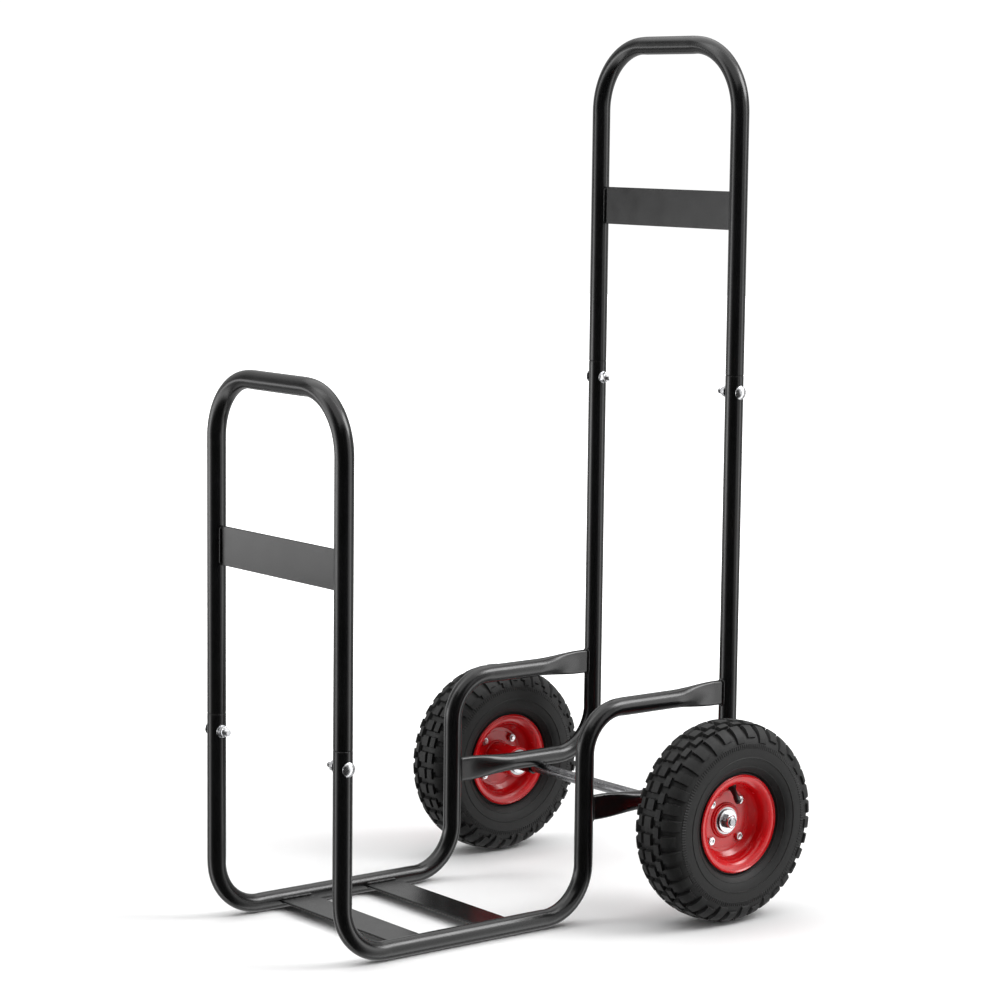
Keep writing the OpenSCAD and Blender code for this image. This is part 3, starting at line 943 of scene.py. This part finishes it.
AXLE_SIDES = 64
AXLE_WASHER = 0.0025
AXLE_WASHER_R = 0.015
AXLE_WASHER_EDGE = 0.0005
AXLE_NUT_WIDTH = 0.017
AXLE_NUT = 0.008
AXLE_NUT_SPIN = 17
AXLE_THREAD_R = 0.005
AXLE_PITCH = 0.0015
AXLE_PLAIN = 0.001
AXLE_SHOULDER_EDGE = 0.0006
END_PLAY = 0.0003
SPACER_R = 0.010
SPACER_EDGE = 0.0006

hub_face = WHEEL_Y + HUB_OUT + END_PLAY
hub_back = WHEEL_Y - HUB_IN - END_PLAY - AXLE_WASHER
middle = [(AXLE_R - AXLE_SHOULDER_EDGE, -hub_face), (AXLE_R, AXLE_SHOULDER_EDGE - hub_face)]
middle += [(r, -z) for r, z in reversed(middle)]
bar = threaded_bar(AXLE_THREAD_R, AXLE_PITCH, hub_face, AXLE_PLAIN, axle_high.y)
bars = [(turned(middle, AXLE_SIDES), along_y(AXLE_X, 0, AXLE_Z, 1))]
bars += [(bar, along_y(AXLE_X, 0, AXLE_Z, side)) for side in (LEFT, RIGHT)]
make_piece("axle_bar", bars, axle_zinc, "root", ["axle"])

nut = lock_nut(AXLE_NUT_WIDTH, AXLE_NUT, AXLE_THREAD_R + BORE_GAP)
spacer = washer(SPACER_R, AXLE_R + BORE_GAP, hub_back - SIDE_Y - TUBE_R, SPACER_EDGE)
washers, nuts, spacers = [], [], []
for side in (LEFT, RIGHT):
    for distance, bore in ((hub_face, AXLE_THREAD_R), (hub_back, AXLE_R)):
        ring = washer(AXLE_WASHER_R, bore + BORE_GAP, AXLE_WASHER, AXLE_WASHER_EDGE)
        washers.append((ring, along_y(AXLE_X, side * distance, AXLE_Z, side)))
    nut_y = side * (hub_face + AXLE_WASHER)
    nuts.append((nut, along_y(AXLE_X, nut_y, AXLE_Z, side, AXLE_NUT_SPIN)))
    spacers.append((spacer, along_y(AXLE_X, side * (SIDE_Y + TUBE_R), AXLE_Z, side)))
make_piece("axle_flat_washers", washers, zinc, "root", ["axle_washers"])
make_piece("axle_nuts", nuts, zinc, "root", ["axle_lock_nuts"])
make_piece("axle_spacer_tubes", spacers, black_paint, "root", ["axle_spacers"])

# ---- Tyre ----

TYRE_MID_R = 0.095
TYRE_POWER = 2.6
BEAD_ANGLE = 56
PITCHES = 36
LINES = 20
TREAD_LINES = PITCHES * LINES
TYRE_WALL = 0.006
INSIDE_STEPS = 10
BEAD_WIDTH = 0.013
BEAD_HEEL_R = 0.008
SEAT_R = 0.051
BEAD_GAP = 0.0003

# Depth of the carcass below the tread blocks, by the section's angle.
# 90 degrees is the crown and 0 is the widest place.
CARCASS = [
    (-90, 0.0006), (-40, 0.0008), (0, 0.0010), (12, 0.0016), (24, 0.0026), (44, 0.0042), (60, 0.0050),
]
# Rows of tread blocks: first and last section angle, then where a block starts and ends in its pitch
SHOULDER_LONG = (14, 62, 0.0, 0.70)
SHOULDER_SHORT = (25, 62, 0.0, 0.70)
MIDDLE_ROW = (66.5, 80, 0.5, 1.2)
CROWN_ROW = (84, 96, 0.0, 0.7)
EDGE_ANGLE = 1.1
# Raised rings on the sidewall, by section angle, and the belt of fine ribs between two of them
WALL_RINGS = [(-47, 0.0008), (-30, 0.0005), (-9, 0.0007)]
RING_HALF = 1.3
RIB_BELT = (3.5, 11.5)
RIB_HEIGHT = 0.0006
RING_SLACK = 0.2
RIB_EDGE = 0.5
RIB_LINES = 4
WIDEST_STEP = 4.5
HEEL_STEP = 15


def squared(value):
    """A sine or cosine bent towards the corner, which makes the section squarer than an oval."""
    return copysign(abs(value) ** (2 / TYRE_POWER), value)


def section_point(angle, half_height, half_width):
    """(distance from the axle, distance outboard) on the tyre's section."""
    a = radians(angle)
    r = TYRE_MID_R + half_height * squared(sin(a))
    return Vector((r, half_width * squared(cos(a))))


def carcass_depth(angle):
    for (a0, d0), (a1, d1) in zip(CARCASS, CARCASS[1:]):
        if angle <= a1:
            return d0 + (d1 - d0) * max(0, angle - a0) / (a1 - a0)
    return CARCASS[-1][1]


def folded(angle):
    """The same place on the outboard half of the section."""
    return angle if angle <= 90 else 180 - angle


def inside_row(row, angle, line):
    """Whether a line of the tread is on top of a block of this row, not on its edge or outside it."""
    first, last, begin, end = row
    if not first + EDGE_ANGLE - 1e-6 <= angle <= last - EDGE_ANGLE + 1e-6:
        return False
    place = line % LINES
    start, stop = round(begin * LINES), round(end * LINES)
    return start < place < stop or start < place + LINES < stop


def on_block(angle, line):
    """Whether a line of the tread is on top of any block."""
    shift = 0 if angle <= 90 else LINES // 2
    shoulder = SHOULDER_LONG if (line // LINES) % 2 else SHOULDER_SHORT
    return (
        inside_row(shoulder, folded(angle), line + shift)
        or inside_row(MIDDLE_ROW, folded(angle), line + shift)
        or inside_row(CROWN_ROW, angle, line)
    )


def wall_height(angle, line):
    """Height of the sidewall's rings and ribs above the carcass."""
    for place, height in WALL_RINGS:
        if abs(folded(angle) - place) < RING_HALF - RING_SLACK:
            return height
    if RIB_BELT[0] < folded(angle) < RIB_BELT[1] and line % RIB_LINES < RIB_LINES / 2:
        return RIB_HEIGHT
    return 0.0


def section_angles():
    """Section angles from the outboard bead to the crown, closer together at every edge."""
    angles = {-BEAD_ANGLE}
    for first, last, _, _ in (SHOULDER_LONG, SHOULDER_SHORT, MIDDLE_ROW, CROWN_ROW):
        angles |= {first, first + EDGE_ANGLE, last - EDGE_ANGLE, last}
    for place, _ in WALL_RINGS:
        angles |= {place + RING_HALF * share for share in (-1, -0.5, 0.5, 1)}
    angles |= {RIB_BELT[0], RIB_BELT[0] + RIB_EDGE, RIB_BELT[1] - RIB_EDGE, RIB_BELT[1]}
    angles = sorted(a for a in angles if a <= 90)
    filled = []
    for a, b in zip(angles, angles[1:]):
        count = max(1, ceil((b - a) / WIDEST_STEP))
        filled += [a + (b - a) * k / count for k in range(count)]
    return filled + [angles[-1], 90]


def tread_ring(angle, half_height):
    """A ring of the tyre's outside at one section angle, over the blocks, rings and ribs."""
    envelope = section_point(angle, half_height, TYRE_HALF_WIDTH)
    inward = (Vector((TYRE_MID_R, 0)) - envelope).normalized()
    depth = carcass_depth(folded(angle))
    places = []
    for line in range(TREAD_LINES):
        below = (0 if on_block(angle, line) else depth) - wall_height(angle, line)
        places.append(envelope + inward * max(0, below))
    return polar_ring(places)


def tyre_mesh():
    """The tyre's outside, one bead, the inside and the other bead, as one closed loop of rings."""
    half_height = TYRE_R - TYRE_MID_R
    half = section_angles()
    angles = half + [180 - a for a in reversed(half[:-1])]
    bead_out = section_point(-BEAD_ANGLE, half_height, TYRE_HALF_WIDTH).y
    bead_r = SEAT_R + BEAD_GAP
    heel = []
    for slope in range(90, -1, -HEEL_STEP):
        a = radians(slope)
        r = bead_r + BEAD_HEEL_R * (1 - cos(a))
        heel.append((r, bead_out - BEAD_HEEL_R * (1 - sin(a))))
    heel.append((bead_r, bead_out - BEAD_WIDTH))
    sweep = 180 + 2 * BEAD_ANGLE
    back = [180 + BEAD_ANGLE - k * sweep / INSIDE_STEPS for k in range(INSIDE_STEPS + 1)]
    height, width = half_height - TYRE_WALL, TYRE_HALF_WIDTH - TYRE_WALL
    inside = [section_point(angle, height, width) for angle in back]
    rest = [(r, -w) for r, w in heel] + inside + list(reversed(heel))
    outside = [tread_ring(angle, half_height) for angle in angles]
    return hollow(outside + round_rings(rest, TREAD_LINES))


def on_wheel(side):
    """Places a part drawn about +Z, with the outboard side up, on a wheel."""
    turn = Matrix.Rotation(radians(90), 4, "X")
    place = Matrix.Translation((AXLE_X, -WHEEL_Y, AXLE_Z)) @ turn
    return place if side == LEFT else Matrix.Diagonal((1, -1, 1, 1)) @ place


# ---- Rim, hub and their fasteners ----

SHEET = 0.002
DISH_R = 0.041
DISH_CORNER = 0.0065
FLANGE_R = 0.064
FLANGE_OUT = 0.0275
FLANGE_BEND = 0.009
SEAT_RUN = 0.004
LIP_WIDTH = 0.003
LIP_ROLL = 0.002
RIM_SIDES = 144
RIM_BOLT_CIRCLE = 0.034
RIM_HEX = 0.010
RIM_HEAD = 0.004
RIM_NUT = 0.005
RIM_BOLT_R = 0.003
RIM_BOLT_END = 0.002
RAISED_RING = 0.0009
HUB_WELD_R = 0.0021
HUB_WELD_OUT = 0.0008
HUB_WELD_POINTS = 240
HUB_RIPPLE_POINTS = 4
HUB_RIPPLE_LOW = 0.92
HUB_RIPPLE_RISE = 0.14
HUB_GAP = 0.0003
BEARING_R = 0.0175
BEARING_DEPTH = 0.011
HUB_BORE_R = 0.0155
HUB_EDGE = 0.0007
RIM_PITCH = 0.001
RIM_BOLT_PLAIN = 0.002
RIM_BOLT_ANGLE = 45
HEX_SPIN_START, HEX_SPIN_STEP = 0.5, 0.7


def rim_half_mesh():
    """Pressed disc with a raised ring near its edge, sloping corner, bead seat and rolled flange."""
    half = SHEET / 2
    wall_r = SEAT_R - half
    points = [
        (HUB_R + HUB_GAP, half),
        (DISH_R - 0.0045, half),
        (DISH_R - 0.0030, half + RAISED_RING),
        (DISH_R, half + RAISED_RING),
        (DISH_R + DISH_CORNER, half + DISH_CORNER),
        (wall_r, half + DISH_CORNER + SEAT_RUN),
        (wall_r, FLANGE_OUT),
        (FLANGE_R - LIP_WIDTH, FLANGE_OUT),
        (FLANGE_R - half, FLANGE_OUT + LIP_ROLL),
    ]
    radii = [0, 0.002, 0.0015, 0.003, 0.006, 0.004, FLANGE_BEND, 0.002, 0]
    line = filleted(points, radii, 10)
    outline = offset_line(line, half) + list(reversed(offset_line(line, -half)))
    return turned([tuple(p) for p in outline], RIM_SIDES, joined=True)


def hub_weld(z):
    """A rippled fillet of weld round the hub."""
    rings = []
    for point in polar_ring([(HUB_R + HUB_WELD_OUT, z)] * HUB_WELD_POINTS):
        point = Vector(point)
        out = Vector((point.x, point.y, 0)).normalized()
        ripple = abs(sin(pi * len(rings) / HUB_RIPPLE_POINTS))
        radius = HUB_WELD_R * (HUB_RIPPLE_LOW + HUB_RIPPLE_RISE * ripple)
        rings.append(round_section(point, out, Vector((0, 0, 1)), radius))
    return hollow(rings)


def hub_mesh():
    """The hub's tube, with a seat for a bearing at each end."""
    profile = [
        (BEARING_R, HUB_OUT - HUB_EDGE),
        (BEARING_R + HUB_EDGE / 2, HUB_OUT),
        (HUB_R - HUB_EDGE, HUB_OUT),
        (HUB_R, HUB_OUT - HUB_EDGE),
        (HUB_R, HUB_EDGE - HUB_IN),
        (HUB_R - HUB_EDGE, -HUB_IN),
        (BEARING_R + HUB_EDGE / 2, -HUB_IN),
        (BEARING_R, HUB_EDGE - HUB_IN),
        (BEARING_R, BEARING_DEPTH - HUB_IN),
        (HUB_BORE_R, BEARING_DEPTH - HUB_IN),
        (HUB_BORE_R, HUB_OUT - BEARING_DEPTH),
        (BEARING_R, HUB_OUT - BEARING_DEPTH),
    ]
    return turned(profile, RIM_SIDES, joined=True)


def rim_bolt_places():
    for k in range(4):
        turn = Matrix.Rotation(radians(RIM_BOLT_ANGLE + 90 * k), 4, "Z")
        spin = Matrix.Rotation(HEX_SPIN_START + HEX_SPIN_STEP * k, 4, "Z")
        yield turn @ Matrix.Translation((RIM_BOLT_CIRCLE, 0, 0)) @ spin


VALVE_ANGLE = 78
VALVE_SLOPE = 45
VALVE_START = 0.013
STEM_END = 0.016
CAP_LENGTH = 0.010
STEM_SIDES = 40
CAP_SIDES = 48
KNURL = 0.0002


def valve_place():
    root = (DISH_R + DISH_CORNER / 2, 0, SHEET / 2 + DISH_CORNER / 2)
    lean = Matrix.Rotation(radians(-VALVE_SLOPE), 4, "Y")
    return Matrix.Rotation(radians(VALVE_ANGLE), 4, "Z") @ Matrix.Translation(root) @ lean


def valve_stem_mesh():
    """Rubber-covered stem with a moulded foot on the rim."""
    profile = [
        (0.0028, -VALVE_START + 0.001),
        (0.0035, -VALVE_START + 0.002),
        (0.0035, 0.0008),
        (0.0056, 0.0012),
        (0.0056, 0.0022),
        (0.0044, 0.0040),
        (0.0037, 0.0060),
        (0.0035, 0.0110),
        (0.0034, STEM_END - 0.0006),
        (0.0028, STEM_END),
    ]
    return turned(profile, STEM_SIDES)


def valve_cap_mesh():
    """Knurled plastic cap with a domed end."""
    profile = [
        (0.0036, 0.0, 0),
        (0.0041, 0.0004, 0),
        (0.0041, 0.0012, 0),
        (0.0040, 0.0018, KNURL),
        (0.0040, CAP_LENGTH - 0.0028, KNURL),
        (0.0039, CAP_LENGTH - 0.0020, 0),
        (0.0034, CAP_LENGTH - 0.0007, 0),
        (0.0024, CAP_LENGTH - 0.0001, 0),
        (0.0012, CAP_LENGTH, 0),
    ]
    rings = []
    for r, z, rib in profile:
        radii = [r + (rib if k % 3 == 0 else 0) for k in range(CAP_SIDES)]
        rings.append(polar_ring([(radius, STEM_END + z) for radius in radii]))
    return capped(rings)


def wheel_piece(wheel, label, mesh, place, finish, node, sharp=32):
    """A piece that turns with a wheel and replaces one of its nodes."""
    make_piece(f"{wheel}_{label}", [(mesh, place)], finish, wheel, [f"{wheel}_{node}"], sharp)


FLIP = Matrix.Diagonal((1, 1, -1, 1))
ON_SHEET = Matrix.Translation((0, 0, SHEET))
bolt_length = 2 * SHEET + RIM_NUT + RIM_BOLT_END
tyre = tyre_mesh()
rim_half = rim_half_mesh()
head = bolt_head(RIM_HEX, RIM_HEAD)
bar = threaded_bar(RIM_BOLT_R, RIM_PITCH, 0, RIM_BOLT_PLAIN, bolt_length)
nut = plain_nut(RIM_HEX, RIM_NUT, RIM_BOLT_R + BORE_GAP)
for side in (LEFT, RIGHT):
    name = f"wheel_{SIDE_NAME[side]}"
    place = on_wheel(side)
    wheel_piece(name, "knobby_tyre", tyre, place, tyre_rubber, "tyre", sharp=30)
    wheel_piece(name, "outer_rim", rim_half, place, red_paint, "rim_outer")
    wheel_piece(name, "inner_rim", rim_half, place @ FLIP, red_paint, "rim_inner")
    wheel_piece(name, "hub_tube", hub_mesh(), place, red_paint, "hub")
    welds = [(hub_weld(z), place) for z in (SHEET, -SHEET)]
    make_piece(f"{name}_hub_welds", welds, red_paint, name, [])

    bolts, nuts = [], []
    for spot in rim_bolt_places():
        top = place @ spot @ ON_SHEET
        bolts += [(head, top), (bar, top @ FLIP)]
        nuts.append((nut, place @ spot @ FLIP @ ON_SHEET))
    make_piece(f"{name}_rim_hex_bolts", bolts, zinc, name, [f"{name}_rim_bolts"])
    make_piece(f"{name}_rim_hex_nuts", nuts, zinc, name, [f"{name}_rim_nuts"])

    valve = place @ valve_place()
    wheel_piece(name, "valve", valve_stem_mesh(), valve, valve_rubber, "valve_stem")
    wheel_piece(name, "dust_cap", valve_cap_mesh(), valve, valve_rubber, "valve_cap")

    for node, material in (("inner_tube", tube_rubber), ("bearings", ground_steel)):
        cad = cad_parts[f"{name}_{node}"]
        cad.data.materials.clear()
        cad.data.materials.append(material)

# ---- Floor, light and camera ----

VIEW_AZIMUTH = radians(-38.115)
VIEW_ELEVATION = radians(7.223)
VIEW_ROLL = radians(0.663)
CAMERA_PLACE = Vector((-2.3403, -3.0092, 1.0152))
CAMERA_LENS = 107.66

# Level directions towards the camera and to its right
towards = Vector((sin(VIEW_AZIMUTH), -cos(VIEW_AZIMUTH), 0))
sideways = Vector((cos(VIEW_AZIMUTH), sin(VIEW_AZIMUTH), 0))
back = towards * cos(VIEW_ELEVATION) + Vector((0, 0, sin(VIEW_ELEVATION)))
up = back.cross(sideways)
rolled_right = sideways * cos(VIEW_ROLL) + up * sin(VIEW_ROLL)
rolled_up = up * cos(VIEW_ROLL) - sideways * sin(VIEW_ROLL)

camera_data = bpy.data.cameras.new("camera")
camera_data.lens = CAMERA_LENS
camera_data.clip_end = 60
camera = add_object("camera", camera_data)
axes = Matrix((rolled_right, rolled_up, back)).transposed().to_4x4()
camera.matrix_world = Matrix.Translation(CAMERA_PLACE) @ axes
bpy.context.scene.camera = camera

GLOW_START, GLOW_FULL = 0.6, 2.2


def floor_material():
    """Matt white; a glow grows away from the rack, so that the floor melts into the background."""
    material, tree, shader = node_material("pale_floor")
    tone = ramp(tree, noise(tree, 3, 3), [(0.3, grey(0.90)), (0.7, grey(0.93))])
    tree.links.new(tone, shader.inputs["Base Color"])
    shader.inputs["Roughness"].default_value = 0.8
    shader.inputs["Specular IOR Level"].default_value = 0.1
    shader.inputs["Emission Color"].default_value = (1, 1, 1, 1)
    place = add_node(tree, "TexCoord").outputs["Object"]
    links = {"Value": vector_math(tree, "LENGTH", place)["Value"]}
    values = {"From Min": GLOW_START, "From Max": GLOW_FULL, "To Max": 1.0}
    glow = add_node(tree, "MapRange", values, links, interpolation_type="SMOOTHSTEP")
    tree.links.new(glow.outputs["Result"], shader.inputs["Emission Strength"])
    return material


FLOOR_SIDE, FLOOR_FRONT, FLOOR_BACK = 9.0, 1.5, 14.0
FLOOR_DROP = 0.0002
floor_corners = [
    sideways * -FLOOR_SIDE + towards * FLOOR_FRONT,
    sideways * FLOOR_SIDE + towards * FLOOR_FRONT,
    sideways * FLOOR_SIDE - towards * FLOOR_BACK,
    sideways * -FLOOR_SIDE - towards * FLOOR_BACK,
]
floor_mesh = bpy.data.meshes.new("floor")
floor_mesh.from_pydata(floor_corners, [], [(0, 1, 2, 3)])
floor_mesh.materials.append(floor_material())
floor = add_object("floor", floor_mesh)
floor.location.z = -FLOOR_DROP
floor.visible_glossy = False


def softbox(name, place, aim, size, radiance):
    """A soft panel light that the camera doesn't see."""
    data = bpy.data.lights.new(name, "AREA")
    data.shape = "RECTANGLE"
    data.size, data.size_y = size
    data.energy = radiance * pi * size[0] * size[1]
    light = add_object(name, data)
    light.location = place
    light.rotation_euler = (Vector(aim) - Vector(place)).to_track_quat("-Z", "Y").to_euler()
    light.visible_camera = False


CEILING_RADIANCE = 1.1
KEY_RADIANCE = 6.0
LOW_RADIANCE = 2.0
SIDE_RADIANCE = 0.8
MIDDLE = Vector((0, 0, 0.4))
softbox("ceiling_panel", (0, 0, 3.4), (0, 0, 0), (6, 6), CEILING_RADIANCE)
key_place = MIDDLE + sideways * 2.2 + Vector((0, 0, 1.8))
softbox("key_panel", key_place, MIDDLE, (1.3, 1.3), KEY_RADIANCE)
softbox("low_left_panel", (-1.95, 2.05, 0.32), (-0.32, 0, 0.45), (1.6, 0.6), LOW_RADIANCE)
side_place = sideways * 2.4 + towards * 1.7 + Vector((0, 0, 1))
softbox("right_panel", side_place, (0, 0, 0.6), (0.9, 2.2), SIDE_RADIANCE)

# Light from around: bright on the left and right, softer behind, dark in front
SURROUND = [
    (-1.0, 0.6), (-0.6, 0.6), (-0.3, 0.12), (-0.17, 0.2), (-0.1, 2.2),
    (0.1, 2.5), (0.3, 0.9), (0.5, 0.2), (0.7, 0.04), (1.0, 0.03),
]
BRIGHTEST = 2.5
BACKDROP = 1.05


def studio_world():
    """The surround lights the rack by the level direction alone; the camera sees plain white."""
    world = bpy.data.worlds.new("studio")
    world.use_nodes = True
    tree = world.node_tree
    direction = add_node(tree, "TexCoord").outputs["Generated"]
    level = vector_math(tree, "MULTIPLY", direction, (1, 1, 0))["Vector"]
    heading = vector_math(tree, "NORMALIZE", level)["Vector"]
    facing = vector_math(tree, "DOT_PRODUCT", heading, towards)["Value"]
    share = add_node(tree, "MapRange", {"From Min": -1}, {"Value": facing})
    stops = [((t + 1) / 2, grey(value / BRIGHTEST)) for t, value in SURROUND]
    surround = ramp(tree, share.outputs["Result"], stops)
    around = add_node(tree, "Background", {"Strength": BRIGHTEST}, {"Color": surround})
    backdrop = tree.nodes["Background"]
    backdrop.inputs["Color"].default_value = (1, 1, 1, 1)
    backdrop.inputs["Strength"].default_value = BACKDROP
    links = {1: around.outputs["Background"], 2: backdrop.outputs["Background"]}
    links["Fac"] = add_node(tree, "LightPath").outputs["Is Camera Ray"]
    either = add_node(tree, "MixShader", links=links)
    tree.links.new(either.outputs["Shader"], tree.nodes["World Output"].inputs["Surface"])
    return world


bpy.context.scene.world = studio_world()
bpy.context.scene.view_settings.view_transform = "Standard"
